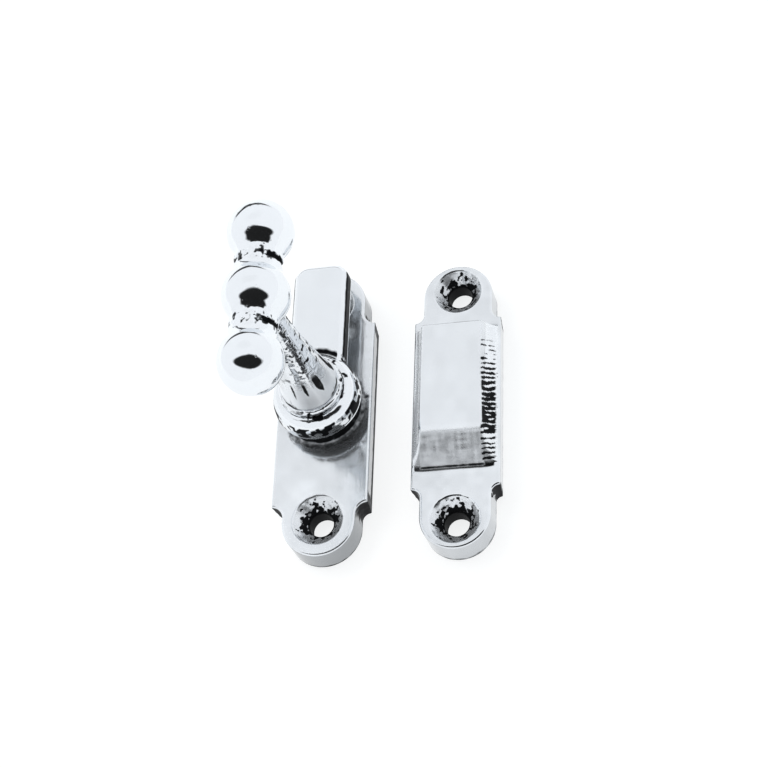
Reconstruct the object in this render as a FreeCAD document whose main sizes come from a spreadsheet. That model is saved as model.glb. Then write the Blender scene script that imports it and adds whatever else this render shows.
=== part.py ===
import FreeCAD, Part
import os
import math
import Sketcher

# Casement wedge fastener in two loose pieces, millimetres.
# Origin: on the spindle axis, in the back plane of the turn plate.
# +X runs towards the keeper, +Y along the length of the plates, +Z out of the window.

V = FreeCAD.Vector
doc = FreeCAD.newDocument("wedge_fastener")

# ------------------------------------------------------------------ driving dimensions
DIMS = [
    ("plate_thick", 5.6),          # both castings
    ("edge_break", 0.45),          # small chamfer round the top rim of each plate
    # turn plate
    ("turn_half_w", 8.75),          # half width of the waist
    ("turn_lobe_half", 6.7),       # half width of the rounded end lobes
    ("turn_tip", 28.1),            # axis to tip of a lobe
    ("turn_sh_low", 18.5),         # axis to lower shoulder
    ("turn_sh_up", 17.0),          # axis to upper shoulder
    ("turn_hole_y", 21.4),         # axis to screw hole
    ("turn_csk_rad", 4.65),        # countersink mouth
    ("screw_rad", 2.17),           # clearance hole for a No. 8 countersunk wood screw
    ("csk_depth", 2.35),
    ("boss_rad", 6.9),             # pedestal under the hub
    ("boss_top", 9.15),
    ("boss_root", 0.8),            # fillet at the foot of the pedestal
    ("bore_rad", 3.06),            # bearing bore for the spindle
    ("recess_rad", 6.2),           # recess behind, for washers and rivet head
    ("recess_depth", 2.9),
    # tongue and hub
    ("hub_low", 9.3),
    ("hub_rad", 7.95),
    ("hub_wall_top", 12.5),
    ("hub_wall_rad", 7.55),
    ("hub_seat", 13.6),
    ("hub_seat_rad", 6.3),
    ("tongue_top", 12.7),
    ("tongue_tip", 25.6),
    ("tongue_half", 5.1),
    ("tongue_corner", 2.8),
    ("tongue_break", 0.9),         # bevel along the top edges of the tongue
    ("square_half", 2.3),          # half across flats of the squared shank
    ("square_hole_half", 2.33),
    # collar ring
    ("collar_rad", 5.85),
    ("collar_top", 15.1),
    ("collar_bore", 2.5),
    ("collar_round", 0.6),
    # stem
    ("stem_foot_rad", 5.2),
    ("stem_mid_z", 26.0),
    ("stem_mid_rad", 3.45),
    ("stem_top", 40.4),
    ("stem_neck_rad", 2.5),
    ("tenon_rad", 1.6),
    ("tenon_top", 44.0),
    ("stem_socket_rad", 2.05),
    ("stem_socket_top", 23.0),
    # ball bar
    ("bar_z", 45.45),
    ("ball_pitch", 11.75),
    ("ball_low_rad", 5.42),
    ("ball_mid_rad", 5.62),
    ("ball_up_rad", 5.58),
    ("bar_neck_rad", 3.5),
    ("tenon_hole_rad", 1.63),
    ("tenon_hole_top", 44.2),
    # spindle
    ("shaft_rad", 3.0),
    ("shaft_low", 2.95),
    ("shank_top", 15.1),
    ("stud_rad", 2.0),
    ("stud_top", 22.6),
    ("tail_rad", 2.1),
    ("tail_low", 1.25),
    ("rivet_rad", 3.3),
    ("rivet_low", 0.35),
    # washers behind the plate
    ("washer_rad", 5.6),
    ("washer_hole", 2.13),
    ("washer_low", 1.27),
    ("washer_high", 1.97),
    ("spring_rad", 5.5),
    ("spring_low", 1.99),
    ("spring_rise", 0.42),
    ("spring_thick", 0.4),
    # keeper
    ("keep_x", 23.95),             # keeper centre from the spindle axis, as the pair lies at rest
    ("keep_y", -0.6),
    ("keep_half_w", 7.95),
    ("keep_lobe_half", 6.3),
    ("keep_tip", 27.7),
    ("keep_sh", 16.4),
    ("keep_hole_y", 22.3),
    ("keep_csk_rad", 4.5),
    ("wedge_top", 8.9),            # at the crease
    ("wedge_end_z", 8.45),         # at the far end
    ("wedge_crease_y", 6.9),
    ("wedge_foot_y", 12.9),
    ("wedge_end_y", 14.4),
    ("wedge_half", 5.3),
    ("wedge_side_foot", 7.6),
    ("wedge_side_arc", 3.7),
]
sheet = doc.addObject("Spreadsheet::Sheet", "Dims")
D = {}
for row, (alias, value) in enumerate(DIMS, start=1):
    sheet.set("A%d" % row, alias)
    sheet.set("B%d" % row, str(value))
    sheet.setAlias("B%d" % row, alias)
    D[alias] = float(value)
doc.recompute()


def num(expr):
    """Value of a sum of signed terms written with the names of the dimensions."""
    total = 0.0
    for term in terms(expr):
        sign, names = term
        v = sign
        for n in names:
            v *= D[n] if n in D else float(n)
        total += v
    return total


def terms(expr):
    """Split 'a + b * 0.5 - c' into [(sign, [factors])]."""
    out = []
    sign = 1.0
    for tok in expr.replace("-", " - ").replace("+", " + ").split(" "):
        if tok == "":
            continue
        if tok == "+":
            sign = 1.0
        elif tok == "-":
            sign = -1.0
        else:
            out.append((sign, tok.split("*")))
            sign = 1.0
    return out


def bound(expr):
    """The same sum, with every dimension spelt out in full."""
    parts = []
    for sign, names in terms(expr):
        body = " * ".join(("Dims." + n) if n in D else n for n in names)
        parts.append(("- " if sign < 0 else "+ ") + body)
    text = " ".join(parts)
    return text[2:] if text.startswith("+ ") else text


def new_body(label):
    b = doc.addObject("PartDesign::Body", label)
    b.Label = label
    return b


def plane(body, role):
    for f in body.Origin.OriginFeatures:
        if f.Role == role:
            return f


def attach(sk, body, role, offset=None):
    sk.AttachmentSupport = [(plane(body, role), "")]
    sk.MapMode = "FlatFace"
    if offset:
        value = num(offset)
        sk.AttachmentOffset = FreeCAD.Placement(V(0, 0, value), FreeCAD.Rotation())
        sk.setExpression("AttachmentOffset.Base.z", bound(offset))


def sketch(body, name, role, offset=None):
    sk = body.newObject("Sketcher::SketchObject", name)
    attach(sk, body, role, offset)
    return sk


def pin_point(sk, geo, pos, xe, ye):
    """Ties one corner to the driving dimensions."""
    if xe == "0":
        sk.addConstraint(Sketcher.Constraint("PointOnObject", geo, pos, -2))
    else:
        i = sk.addConstraint(Sketcher.Constraint("DistanceX", -1, 1, geo, pos, num(xe)))
        sk.setExpression("Constraints[%d]" % i, bound(xe))
    if ye == "0":
        sk.addConstraint(Sketcher.Constraint("PointOnObject", geo, pos, -1))
    else:
        i = sk.addConstraint(Sketcher.Constraint("DistanceY", -1, 1, geo, pos, num(ye)))
        sk.setExpression("Constraints[%d]" % i, bound(ye))


def draw(sk, pts):
    """Closed loop. pts: (x expr, y expr) or (x expr, y expr, radius expr, side) where the radius makes
    the edge that leaves the point an arc; side +1 bulges to the left of the direction of travel."""
    n = len(pts)
    geos = []
    for k in range(n):
        a = pts[k]
        b = pts[(k + 1) % n]
        p = V(num(a[0]), num(a[1]), 0)
        q = V(num(b[0]), num(b[1]), 0)
        if len(a) == 2:
            geos.append((sk.addGeometry(Part.LineSegment(p, q), False), 1, 2))
        else:
            r = num(a[2])
            side = a[3]
            mid = (p + q) * 0.5
            half = (q - p).Length * 0.5
            hgt = math.sqrt(max(r * r - half * half, 0.0))
            d = (q - p).normalize()
            left = V(-d.y, d.x, 0)
            c = mid - left * (hgt * side)
            top = c + left * (r * side)
            # every arc runs counter-clockwise
            ap = math.atan2(p.y - c.y, p.x - c.x)
            at = (math.atan2(top.y - c.y, top.x - c.x) - ap) % (2 * math.pi)
            aq = (math.atan2(q.y - c.y, q.x - c.x) - ap) % (2 * math.pi)
            circle = Part.Circle(c, V(0, 0, 1), r)
            if at < aq:
                g = sk.addGeometry(Part.ArcOfCircle(circle, ap, ap + aq), False)
                geos.append((g, 1, 2))
            else:
                g = sk.addGeometry(Part.ArcOfCircle(circle, ap + aq, ap + 2 * math.pi), False)
                geos.append((g, 2, 1))
            if r - half > 1e-6:
                i = sk.addConstraint(Sketcher.Constraint("Radius", g, r))
                sk.setExpression("Constraints[%d]" % i, bound(a[2]))
            else:
                # half circle on a level chord: its centre lies on the chord
                i = sk.addConstraint(Sketcher.Constraint("DistanceY", -1, 1, g, 3, num(a[1])))
                sk.setExpression("Constraints[%d]" % i, bound(a[1]))
    for k in range(n):
        g, s, e = geos[k]
        g2, s2, e2 = geos[(k + 1) % n]
        sk.addConstraint(Sketcher.Constraint("Coincident", g, e, g2, s2))
    for k in range(n):
        g, s, e = geos[k]
        pin_point(sk, g, s, pts[k][0], pts[k][1])
    return geos


def draw_circle(sk, xe, ye, re):
    g = sk.addGeometry(Part.Circle(V(num(xe), num(ye), 0), V(0, 0, 1), num(re)), False)
    pin_point(sk, g, 3, xe, ye)
    i = sk.addConstraint(Sketcher.Constraint("Radius", g, num(re)))
    sk.setExpression("Constraints[%d]" % i, bound(re))
    return g


def axis_line(sk, xe, z0, z1):
    """Upright construction line used as the axis of a turned shape."""
    x = num(xe)
    g = sk.addGeometry(Part.LineSegment(V(x, z0, 0), V(x, z1, 0)), True)
    sk.addConstraint(Sketcher.Constraint("Vertical", g))
    i = sk.addConstraint(Sketcher.Constraint("DistanceX", -1, 1, g, 1, x))
    sk.setExpression("Constraints[%d]" % i, bound(xe))
    return g


def pad(body, name, sk, length_expr, reverse=False, midplane=False):
    f = body.newObject("PartDesign::Pad", name)
    f.Profile = sk
    f.Length = num(length_expr)
    f.setExpression("Length", bound(length_expr))
    f.Reversed = reverse
    if midplane:
        f.SideType = "Symmetric"
    sk.Visibility = False
    body.Tip = f
    doc.recompute()
    return f


def pocket(body, name, sk, length_expr=None, reverse=False, through=False):
    before = body.Shape.Volume
    f = body.newObject("PartDesign::Pocket", name)
    f.Profile = sk
    if through:
        f.Type = "ThroughAll"
    else:
        f.Length = num(length_expr)
        f.setExpression("Length", bound(length_expr))
    f.Reversed = reverse
    body.Tip = f
    doc.recompute()
    if body.Shape.Volume > before - 1e-6:
        raise RuntimeError("pocket %s cuts nothing" % name)
    return f


def turned(body, name, sk, axis, cut=False):
    before = body.Shape.Volume if cut else 0.0
    f = body.newObject("PartDesign::Groove" if cut else "PartDesign::Revolution", name)
    f.Profile = sk
    f.ReferenceAxis = (sk, [axis])
    f.Angle = 360.0
    body.Tip = f
    doc.recompute()
    if cut and body.Shape.Volume > before - 1e-6:
        raise RuntimeError("groove %s cuts nothing" % name)
    return f


def edges_where(shape, test):
    out = []
    for i, e in enumerate(shape.Edges, start=1):
        if test(e):
            out.append("Edge%d" % i)
    return out


def dress(body, kind, name, test, size_alias):
    base = body.Tip
    names = edges_where(base.Shape, test)
    if not names:
        raise RuntimeError("no edge for %s" % name)
    f = body.newObject("PartDesign::" + kind, name)
    f.Base = (base, names)
    if kind == "Fillet":
        f.Radius = D[size_alias]
        f.setExpression("Radius", "Dims." + size_alias)
    else:
        f.Size = D[size_alias]
        f.setExpression("Size", "Dims." + size_alias)
    body.Tip = f
    doc.recompute()
    return f


def at_z(e, z, tol=1e-4):
    bb = e.BoundBox
    return abs(bb.ZMin - z) < tol and abs(bb.ZMax - z) < tol


def plate_outline(sk, half, lobe, tip, low, up):
    """Waist with square shoulders, a scooped notch at each corner and a rounded lobe at each end."""
    notch = "%s - %s" % (half, lobe)
    yc = "%s - %s" % (tip, lobe)
    ny = "- %s + %s" % (tip, lobe)
    pts = [
        ("- " + half, "- " + low),
        # lower left notch, hollow side outwards
        ("- " + half, up),
        ("- " + lobe, "%s + %s" % (up, notch)),
        ("- " + lobe, yc),
        (lobe, yc),
        (lobe, "%s + %s" % (up, notch)),
        (half, up),
        (half, "- " + low),
        (lobe, "- %s - %s" % (low, notch.replace("- " + lobe, "+ " + lobe))),
        (lobe, ny),
        ("- " + lobe, ny),
        ("- " + lobe, "- %s - %s" % (low, notch.replace("- " + lobe, "+ " + lobe))),
    ]
    # edges that are arcs: 1->2, 5->6, 7->8, 11->0 notches; 3->4 and 9->10 lobe ends
    for k in (1, 5, 7, 11):
        pts[k] = pts[k] + (notch, -1)
    for k in (3, 9):
        pts[k] = pts[k] + (lobe, 1)
    return draw(sk, pts)


def countersunk(body, stem, y_expr, mouth):
    """Screw hole turned about its own axis: plain hole, cone up to the top face."""
    sk = sketch(body, stem + "_sketch", "YZ_Plane")
    sign = "- " if y_expr.startswith("- ") else ""
    y = y_expr
    # the profile leans outwards from the hole's axis along sketch x, which is row Y
    pts = [
        (y, "- 1"),
        (y + " + screw_rad", "- 1"),
        (y + " + screw_rad", "plate_thick - csk_depth"),
        (y + " + " + mouth, "plate_thick"),
        (y + " + " + mouth, "plate_thick + 1"),
        (y, "plate_thick + 1"),
    ]
    draw(sk, pts)
    axis_line(sk, y, 0.0, 6.0)
    return turned(body, stem, sk, "Axis0", cut=True)


# ------------------------------------------------------------------ turn plate
turn = new_body("turn_backplate")
s = sketch(turn, "turn_outline", "XY_Plane")
plate_outline(s, "turn_half_w", "turn_lobe_half", "turn_tip", "turn_sh_low", "turn_sh_up")
pad(turn, "turn_slab", s, "plate_thick")
dress(turn, "Chamfer", "turn_rim", lambda e: at_z(e, D["plate_thick"]), "edge_break")
s = sketch(turn, "boss_circle", "XY_Plane", "plate_thick - 0.5")
draw_circle(s, "0", "0", "boss_rad")
pad(turn, "boss", s, "boss_top - plate_thick + 0.5")
dress(turn, "Fillet", "boss_foot",
      lambda e: at_z(e, D["plate_thick"]) and e.Curve.TypeId == "Part::GeomCircle"
      and abs(e.Curve.Radius - D["boss_rad"]) < 1e-4, "boss_root")
s = sketch(turn, "bore_circle", "XY_Plane", "boss_top + 1")
draw_circle(s, "0", "0", "bore_rad")
pocket(turn, "bore", s, through=True)
s = sketch(turn, "recess_circle", "XY_Plane")
draw_circle(s, "0", "0", "recess_rad")
pocket(turn, "recess", s, "recess_depth", reverse=True)
countersunk(turn, "turn_screw_up", "turn_hole_y", "turn_csk_rad")
countersunk(turn, "turn_screw_low", "- turn_hole_y", "turn_csk_rad")

# ------------------------------------------------------------------ tongue and hub, one casting
cam = new_body("tongue_cam")
s = sketch(cam, "tongue_outline", "XY_Plane", "hub_low")
c = "tongue_corner"
draw(s, [
    ("- tongue_half", "0"),
    ("- tongue_half", "tongue_tip - tongue_corner", "tongue_corner", 1),
    ("- tongue_half + tongue_corner", "tongue_tip"),
    ("tongue_half - tongue_corner", "tongue_tip", "tongue_corner", 1),
    ("tongue_half", "tongue_tip - tongue_corner"),
    ("tongue_half", "0"),
])
pad(cam, "tongue_slab", s, "tongue_top - hub_low")
dress(cam, "Chamfer", "tongue_bevel",
      lambda e: at_z(e, D["tongue_top"]) and e.BoundBox.YMax > 1.0, "tongue_break")
s = sketch(cam, "hub_profile", "XZ_Plane")
draw(s, [
    ("0", "hub_low"),
    ("hub_rad", "hub_low"),
    ("hub_wall_rad", "hub_wall_top"),
    ("hub_seat_rad", "hub_seat"),
    ("0", "hub_seat"),
])
turned(cam, "hub", s, "V_Axis")
s = sketch(cam, "square_hole_sketch", "XY_Plane", "hub_seat + 1")
draw(s, [
    ("- square_hole_half", "- square_hole_half"),
    ("square_hole_half", "- square_hole_half"),
    ("square_hole_half", "square_hole_half"),
    ("- square_hole_half", "square_hole_half"),
])
pocket(cam, "square_hole", s, through=True)

# ------------------------------------------------------------------ collar ring under the stem
collar = new_body("stem_collar")
s = sketch(collar, "collar_profile", "XZ_Plane")
draw(s, [
    ("square_hole_half*1.45", "hub_seat"),
    ("collar_rad", "hub_seat"),
    ("collar_rad", "collar_top"),
    ("square_hole_half*1.45", "collar_top"),
])
turned(collar, "collar_ring", s, "V_Axis")
dress(collar, "Fillet", "collar_edge",
      lambda e: e.Curve.TypeId == "Part::GeomCircle" and at_z(e, D["collar_top"])
      and abs(e.Curve.Radius - D["collar_rad"]) < 1e-4, "collar_round")

# ------------------------------------------------------------------ stem: flared foot, slim neck, tenon
stem = new_body("handle_stem")
s = sketch(stem, "stem_profile", "XZ_Plane")
draw(s, [
    ("0", "stem_socket_top"),
    ("stem_socket_rad", "stem_socket_top"),
    ("stem_socket_rad", "collar_top"),
    ("stem_foot_rad", "collar_top"),
    ("stem_mid_rad", "stem_mid_z"),
    ("stem_neck_rad", "stem_top - 3.4"),
    ("stem_neck_rad", "stem_top"),
    ("tenon_rad", "stem_top"),
    ("tenon_rad", "tenon_top"),
    ("0", "tenon_top"),
])
turned(stem, "stem_turned", s, "V_Axis")

# ------------------------------------------------------------------ ball bar: three balls in a row along Y
# every sphere has its poles on the bar's own axis, so the necks meet it on a parallel
def primitive(kind, name, sizes, base, turn=None):
    o = doc.addObject("Part::" + kind, name)
    for prop, expr in sizes:
        o.setExpression(prop, expr)
        setattr(o, prop, num(expr.replace("Dims.", "").replace(" * ", "*")))
    o.Placement = FreeCAD.Placement(V(*[num(e.replace("Dims.", "").replace(" * ", "*")) for e in base]),
                                    turn or FreeCAD.Rotation())
    for axis, expr in zip("xyz", base):
        if expr != "0":
            o.setExpression("Placement.Base." + axis, expr)
    return o


along_y = FreeCAD.Rotation(V(1, 0, 0), -90)
balls = [
    primitive("Sphere", "ball_mid", [("Radius", "Dims.ball_mid_rad")], ("0", "0", "Dims.bar_z"), along_y),
    primitive("Sphere", "ball_up", [("Radius", "Dims.ball_up_rad")], ("0", "Dims.ball_pitch", "Dims.bar_z"), along_y),
    primitive("Sphere", "ball_low", [("Radius", "Dims.ball_low_rad")], ("0", "-Dims.ball_pitch", "Dims.bar_z"), along_y),
    primitive("Cylinder", "bar_neck", [("Radius", "Dims.bar_neck_rad"), ("Height", "Dims.ball_pitch * 2")],
              ("0", "-Dims.ball_pitch", "Dims.bar_z"), along_y),
]
fused = doc.addObject("Part::MultiFuse", "bar_blank")
fused.Shapes = balls
# flat seat and blind hole for the stem's tenon
seat = primitive("Cylinder", "stem_seat", [("Radius", "Dims.stem_neck_rad * 1.3"), ("Height", "3.0")],
                 ("0", "0", "Dims.stem_top - 3.0"))
hole = primitive("Cylinder", "tenon_hole", [("Radius", "Dims.tenon_hole_rad"),
                                            ("Height", "Dims.tenon_hole_top - Dims.stem_top + 1.0")],
                 ("0", "0", "Dims.stem_top - 1.0"))
tools = doc.addObject("Part::MultiFuse", "bar_tools")
tools.Shapes = [seat, hole]
bar = doc.addObject("Part::Cut", "ball_bar")
bar.Base = fused
bar.Tool = tools
bar.Label = "ball_bar"
doc.recompute()

# ------------------------------------------------------------------ spindle: round bearing, squared shank, stud, riveted tail
spin = new_body("spindle")
s = sketch(spin, "spindle_profile", "XZ_Plane")
draw(s, [
    ("0", "rivet_low"),
    ("rivet_rad - 0.8", "rivet_low"),
    ("rivet_rad", "tail_low - 0.3"),
    ("rivet_rad", "tail_low"),
    ("tail_rad", "tail_low"),
    ("tail_rad", "shaft_low"),
    ("shaft_rad", "shaft_low"),
    ("shaft_rad", "hub_low"),
    ("stud_rad", "hub_low"),
    ("stud_rad", "stud_top"),
    ("0", "stud_top"),
])
turned(spin, "spindle_turned", s, "V_Axis")
s = sketch(spin, "shank_square", "XY_Plane", "hub_low")
draw(s, [
    ("- square_half", "- square_half"),
    ("square_half", "- square_half"),
    ("square_half", "square_half"),
    ("- square_half", "square_half"),
])
pad(spin, "squared_shank", s, "shank_top - hub_low")

# ------------------------------------------------------------------ washers in the recess behind the plate
wash = new_body("back_washer")
s = sketch(wash, "washer_profile", "XZ_Plane")
draw(s, [
    ("washer_hole", "washer_low"),
    ("washer_rad", "washer_low"),
    ("washer_rad", "washer_high"),
    ("washer_hole", "washer_high"),
])
turned(wash, "washer_turned", s, "V_Axis")

spring = new_body("spring_washer")
s = sketch(spring, "spring_profile", "XZ_Plane")
draw(s, [
    ("washer_hole", "spring_low"),
    ("spring_rad", "spring_low + spring_rise"),
    ("spring_rad", "spring_low + spring_rise + spring_thick"),
    ("washer_hole", "spring_low + spring_thick"),
])
turned(spring, "spring_turned", s, "V_Axis")

# ------------------------------------------------------------------ keeper: plate and wedge cast in one
keep = new_body("keeper_plate")
s = sketch(keep, "keeper_outline", "XY_Plane")
plate_outline(s, "keep_half_w", "keep_lobe_half", "keep_tip", "keep_sh", "keep_sh")
pad(keep, "keeper_slab", s, "plate_thick")
dress(keep, "Chamfer", "keeper_rim", lambda e: at_z(e, D["plate_thick"]), "edge_break")
# wedge section across the plate, with hollow sides, run from its foot to its far end
s = sketch(keep, "wedge_section", "XZ_Plane", "- wedge_end_y")
draw(s, [
    ("- wedge_side_foot", "plate_thick - 0.5"),
    ("wedge_side_foot", "plate_thick - 0.5"),
    ("wedge_side_foot", "plate_thick", "wedge_side_arc", -1),
    ("wedge_half", "wedge_top"),
    ("- wedge_half", "wedge_top", "wedge_side_arc", -1),
    ("- wedge_side_foot", "plate_thick"),
])
f = pad(keep, "wedge", s, "wedge_end_y + wedge_foot_y", reverse=False)
box = f.Shape.BoundBox
if box.YMin < -D["keep_tip"] - 0.1 or box.YMax > D["keep_tip"] + 0.1:
    raise RuntimeError("wedge runs off the plate")
# top of the wedge: nearly level to the crease, then a steep run down to the plate
s = sketch(keep, "wedge_slope", "YZ_Plane", "- keep_half_w - 1")
draw(s, [
    ("- wedge_foot_y", "plate_thick"),
    ("- wedge_crease_y", "wedge_top"),
    ("wedge_end_y", "wedge_end_z"),
    ("wedge_end_y + 1", "wedge_end_z"),
    ("wedge_end_y + 1", "wedge_top + 2"),
    ("- wedge_foot_y - 1", "wedge_top + 2"),
    ("- wedge_foot_y - 1", "plate_thick"),
])
pocket(keep, "wedge_cut", s, "keep_half_w*2 + 2", reverse=True)
countersunk(keep, "keeper_screw_up", "keep_hole_y", "keep_csk_rad")
countersunk(keep, "keeper_screw_low", "- keep_hole_y", "keep_csk_rad")
keep.Placement = FreeCAD.Placement(V(D["keep_x"], D["keep_y"], 0), FreeCAD.Rotation())
keep.setExpression("Placement.Base.x", "Dims.keep_x")
keep.setExpression("Placement.Base.y", "Dims.keep_y")

doc.recompute()

# ------------------------------------------------------------------ checks and export
bad = []
for o in doc.Objects:
    if "Invalid" in o.State or "Error" in o.State:
        bad.append("%s: %s" % (o.Name, o.State))
for o in doc.Objects:
    if o.TypeId == "Sketcher::SketchObject" and o.solve() != 0:
        bad.append("%s: sketch does not solve" % o.Name)
NODES = [turn, cam, collar, stem, bar, spin, wash, spring, keep]
for b in NODES:
    sh = b.Shape
    if sh.isNull() or not sh.isValid() or len(sh.Solids) != 1:
        bad.append("%s: null %s valid %s solids %d" % (b.Label, sh.isNull(), sh.isValid(), len(sh.Solids)))
if bad:
    raise RuntimeError("; ".join(bad))

os.makedirs("parts", exist_ok=True)
for b in NODES:
    b.Shape.exportStep("parts/%s.step" % b.Label)
    bb = b.Shape.BoundBox
    print("%-16s vol %9.2f  x %.2f..%.2f  y %.2f..%.2f  z %.2f..%.2f" % (
        b.Label, b.Shape.Volume, bb.XMin, bb.XMax, bb.YMin, bb.YMax, bb.ZMin, bb.ZMax))
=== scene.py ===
import math
import bpy
import numpy as np
from mathutils import Matrix, Vector


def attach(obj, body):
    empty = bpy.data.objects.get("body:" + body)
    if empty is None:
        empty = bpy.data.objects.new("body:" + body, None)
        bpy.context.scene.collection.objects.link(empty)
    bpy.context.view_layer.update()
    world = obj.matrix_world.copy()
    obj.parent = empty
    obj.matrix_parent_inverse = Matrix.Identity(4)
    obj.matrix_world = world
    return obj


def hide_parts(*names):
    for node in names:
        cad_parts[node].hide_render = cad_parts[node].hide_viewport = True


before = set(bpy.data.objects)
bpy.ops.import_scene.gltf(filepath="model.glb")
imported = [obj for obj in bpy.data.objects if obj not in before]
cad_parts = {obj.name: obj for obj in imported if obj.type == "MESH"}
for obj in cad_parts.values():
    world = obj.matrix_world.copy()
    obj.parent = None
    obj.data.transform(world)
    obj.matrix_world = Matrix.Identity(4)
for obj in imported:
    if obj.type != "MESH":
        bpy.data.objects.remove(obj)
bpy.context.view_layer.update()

GRID = 0.18      # mm, cell of the surfacing grid

# ------------------------------------------------------------------ field helpers (all lengths in mm)


def smin(a, b, k):
    h = np.maximum(k - np.abs(a - b), 0.0) / k
    return np.minimum(a, b) - h * h * k * 0.25


def smax(a, b, k):
    return -smin(-a, -b, k)


def join_round(a, b, r):
    """Union of two shapes with a fillet of radius r in the corner between them."""
    u = np.maximum(r - a, 0.0)
    v = np.maximum(r - b, 0.0)
    return np.maximum(r, np.minimum(a, b)) - np.hypot(u, v)


def meet_round(a, b, r):
    """Intersection with the outer corner rounded to radius r."""
    u = np.maximum(r + a, 0.0)
    v = np.maximum(r + b, 0.0)
    return np.minimum(-r, np.maximum(a, b)) + np.hypot(u, v)


def meet_bevel(a, b, c, k):
    """Intersection with a flat bevel of leg c, its two edges softened over k."""
    return smax(smax(a, b, k), (a + b + c) * 0.70710678, k)


def _hash(ix, iy, iz, seed):
    with np.errstate(over="ignore"):
        n = (ix.astype(np.int64).astype(np.uint32) * np.uint32(73856093)) \
            ^ (iy.astype(np.int64).astype(np.uint32) * np.uint32(19349663)) \
            ^ (iz.astype(np.int64).astype(np.uint32) * np.uint32(83492791)) \
            ^ np.uint32((seed * 2654435761) & 0xFFFFFFFF)
        n = (n ^ (n >> np.uint32(13))) * np.uint32(1274126177)
        n = n ^ (n >> np.uint32(16))
        n = (n ^ (n >> np.uint32(11))) * np.uint32(2246822519)
        n = n ^ (n >> np.uint32(15))
    return n.astype(np.float64) * (2.0 / 4294967295.0) - 1.0


def noise(x, y, z, size, seed):
    """Smooth value noise in -1..1 with features of the given size; size may be one number or three."""
    sx, sy, sz = size if isinstance(size, tuple) else (size, size, size)
    px, py, pz = x / sx + 31.7 * seed, y / sy + 17.3 * seed, z / sz + 5.9 * seed
    ix, iy, iz = np.floor(px), np.floor(py), np.floor(pz)
    fx, fy, fz = px - ix, py - iy, pz - iz
    ux = fx * fx * fx * (fx * (fx * 6 - 15) + 10)
    uy = fy * fy * fy * (fy * (fy * 6 - 15) + 10)
    uz = fz * fz * fz * (fz * (fz * 6 - 15) + 10)
    out = 0.0
    for dx in (0, 1):
        wx = ux if dx else 1 - ux
        for dy in (0, 1):
            wy = uy if dy else 1 - uy
            for dz in (0, 1):
                wz = uz if dz else 1 - uz
                out = out + wx * wy * wz * _hash(ix + dx, iy + dy, iz + dz, seed)
    return out


def step(lo, hi, v):
    t = np.clip((v - lo) / (hi - lo), 0.0, 1.0)
    return t * t * (3 - 2 * t)


# ------------------------------------------------------------------ surfacing


def surface(field, lo, hi, h):
    """Closed quad mesh of field = 0: a surface net, then every vertex walked onto the surface."""
    lo = np.asarray(lo, float)
    hi = np.asarray(hi, float)
    n = np.ceil((hi - lo) / h).astype(int) + 1
    ax = [lo[i] + h * np.arange(n[i]) for i in range(3)]
    F = np.empty(tuple(n), np.float32)
    block = max(1, int(400000 / (n[1] * n[2])))
    for s in range(0, n[0], block):
        X, Y, Z = np.meshgrid(ax[0][s:s + block], ax[1], ax[2], indexing="ij")
        F[s:s + block] = field(X, Y, Z)
    inside = F < 0
    crossings = []
    cell = np.zeros(tuple(n - 1), bool)
    for a in range(3):
        sl0 = [slice(None)] * 3
        sl1 = [slice(None)] * 3
        sl0[a] = slice(0, -1)
        sl1[a] = slice(1, None)
        c = inside[tuple(sl0)] != inside[tuple(sl1)]
        crossings.append(c)
        o = [i for i in range(3) if i != a]
        for p in (0, 1):
            for q in (0, 1):
                s = [slice(None)] * 3
                s[o[0]] = slice(p, n[o[0]] - 1 + p)
                s[o[1]] = slice(q, n[o[1]] - 1 + q)
                cell |= c[tuple(s)]
    I, J, K = np.nonzero(cell)
    index = -np.ones(cell.shape, np.int64)
    index[I, J, K] = np.arange(len(I))
    base = np.stack([I, J, K], 1)
    total = np.zeros((len(I), 3))
    count = np.zeros(len(I))
    for a in range(3):
        o = [i for i in range(3) if i != a]
        for p in (0, 1):
            for q in (0, 1):
                at = base.copy()
                at[:, o[0]] += p
                at[:, o[1]] += q
                hit = crossings[a][at[:, 0], at[:, 1], at[:, 2]]
                b = at[hit]
                e = b.copy()
                e[:, a] += 1
                f0 = F[b[:, 0], b[:, 1], b[:, 2]].astype(float)
                f1 = F[e[:, 0], e[:, 1], e[:, 2]].astype(float)
                pos = b.astype(float)
                pos[:, a] += f0 / (f0 - f1)
                total[hit] += pos
                count[hit] += 1
    V = lo + h * total / count[:, None]
    quads = []
    for a in range(3):
        o = [(a + 1) % 3, (a + 2) % 3]
        P = np.stack(np.nonzero(crossings[a]), 1)
        ok = (P[:, o[0]] > 0) & (P[:, o[1]] > 0) & (P[:, o[0]] < n[o[0]] - 1) & (P[:, o[1]] < n[o[1]] - 1)
        P = P[ok]
        corner = []
        for p, q in ((1, 1), (0, 1), (0, 0), (1, 0)):
            at = P.copy()
            at[:, o[0]] -= p
            at[:, o[1]] -= q
            corner.append(index[at[:, 0], at[:, 1], at[:, 2]])
        Q = np.stack(corner, 1)
        out = inside[P[:, 0], P[:, 1], P[:, 2]]
        Q[~out] = Q[~out][:, ::-1]
        quads.append(Q)
    Q = np.concatenate(quads)
    for it in range(5):
        f, g = gradient(field, V, 0.02)
        stepv = (f / np.maximum((g * g).sum(1), 0.2))[:, None] * g
        size = np.linalg.norm(stepv, axis=1)
        stepv *= np.minimum(1.0, 0.5 * h / np.maximum(size, 1e-9))[:, None]
        V = V - stepv * (1.0 if it else 0.8)
        if it == 1:
            V = relax(V, Q, field)
    return V, Q


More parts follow.
